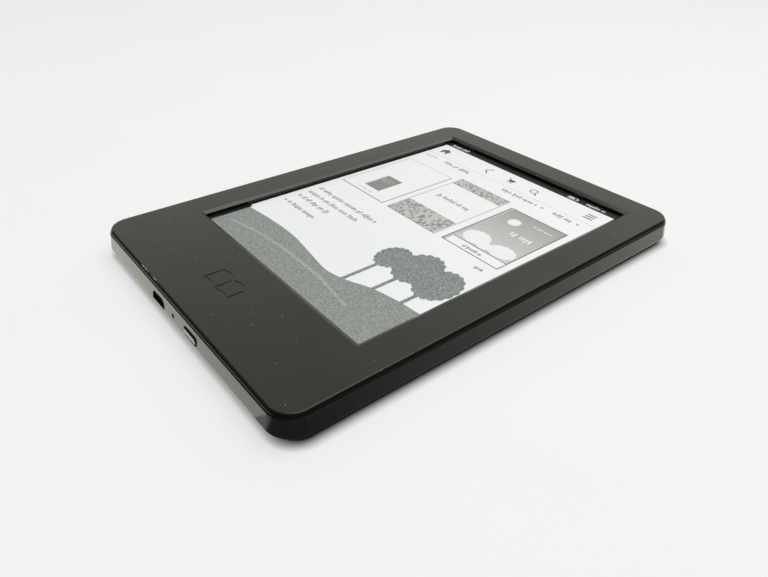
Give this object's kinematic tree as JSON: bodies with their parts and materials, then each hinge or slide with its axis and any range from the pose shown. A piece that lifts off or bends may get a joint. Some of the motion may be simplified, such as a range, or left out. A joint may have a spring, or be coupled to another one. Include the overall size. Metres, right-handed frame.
{
  "type": "e-reader",
  "caption": "Slim hand-held e-paper reader: dark front bezel round a recessed screen, tray-like rear cover, socket and push button in its bottom edge.",
  "frame": {"origin": "middle of the outline, on the surface that the flat back rests on", "axes": "+X to the right of the page, +Y to its top, +Z out of the screen"},
  "size_m": [0.119, 0.169, 0.0102],
  "materials": {
    "cover_plastic": "satin black moulded plastic that mirrors softly",
    "bezel_plastic": "fine-grained satin charcoal",
    "chassis_metal": "plain stamped sheet",
    "panel_glass": "ground-edge sheet glass",
    "front_film": "paper-white anti-glare film over a grey-scale picture",
    "dark_optic": "infrared-clear, visibly black",
    "circuit_board": "green solder mask",
    "chip_plastic": "moulded package",
    "connector_plastic": "ivory nylon",
    "flex_film": "amber polyimide",
    "adhesive": "black foam tape",
    "plated_metal": "tin-plated sheet",
    "pouch_foil": "laminated pouch foil",
    "cable_jacket": "thin flexible jacket",
    "clear_optic": "clear moulded lens",
    "screw_steel": "dark zinc"
  },
  "bodies": {
    "root": {"rear_cover": "cover_plastic", "front_bezel": "bezel_plastic", "chassis": "chassis_metal", "display_panel": "panel_glass", "display_front_film": "front_film", "ir_light_guide": "dark_optic", "ir_emitters_left": "dark_optic", "ir_emitters_bottom": "dark_optic", "ir_sensors_right": "dark_optic", "ir_sensors_top": "dark_optic", "ir_touch_board": "circuit_board", "main_board": "circuit_board", "battery_protection_board": "circuit_board", "display_driver_chip": "chip_plastic", "processor": "chip_plastic", "memory_chip": "chip_plastic", "storage_chip": "chip_plastic", "power_chip": "chip_plastic", "display_power_chip": "chip_plastic", "inductor_1": "chip_plastic", "inductor_2": "chip_plastic", "usb_tongue": "chip_plastic", "display_connector": "connector_plastic", "touch_connector": "connector_plastic", "battery_plug": "connector_plastic", "battery_socket": "connector_plastic", "display_flex": "flex_film", "touch_flex": "flex_film", "display_tape_left": "adhesive", "display_tape_right": "adhesive", "battery_adhesive": "adhesive", "processor_shield": "plated_metal", "wifi_module": "plated_metal", "crystal": "plated_metal", "antenna": "plated_metal", "usb_shell": "plated_metal", "switch_housing": "plated_metal", "battery_cell": "pouch_foil", "battery_lead": "cable_jacket", "antenna_cable": "cable_jacket", "status_led": "clear_optic", "light_pipe": "clear_optic", "board_screw_1": "screw_steel", "board_screw_2": "screw_steel", "board_screw_3": "screw_steel", "board_screw_4": "screw_steel", "board_screw_5": "screw_steel", "board_screw_6": "screw_steel", "frame_screw_1": "screw_steel", "frame_screw_2": "screw_steel", "frame_screw_3": "screw_steel", "frame_screw_4": "screw_steel", "frame_screw_5": "screw_steel", "frame_screw_6": "screw_steel", "frame_screw_7": "screw_steel", "frame_screw_8": "screw_steel"},
    "button": {"power_button": "cover_plastic"},
    "plunger": {"switch_plunger": "chip_plastic"}
  },
  "joints": [
    {"name": "power_button_push", "type": "slide", "parent": "root", "child": "button", "axis": [0, 1, 0], "range_m": [0, 0.0003], "stiffness_N_per_m": 1500},
    {"name": "switch_plunger_push", "type": "slide", "parent": "root", "child": "plunger", "axis": [0, 1, 0], "range_m": [0, 0.0003]}
  ],
  "couplings": [
    {"joint": "switch_plunger_push", "follows": "power_button_push", "ratio": 1}
  ]
}
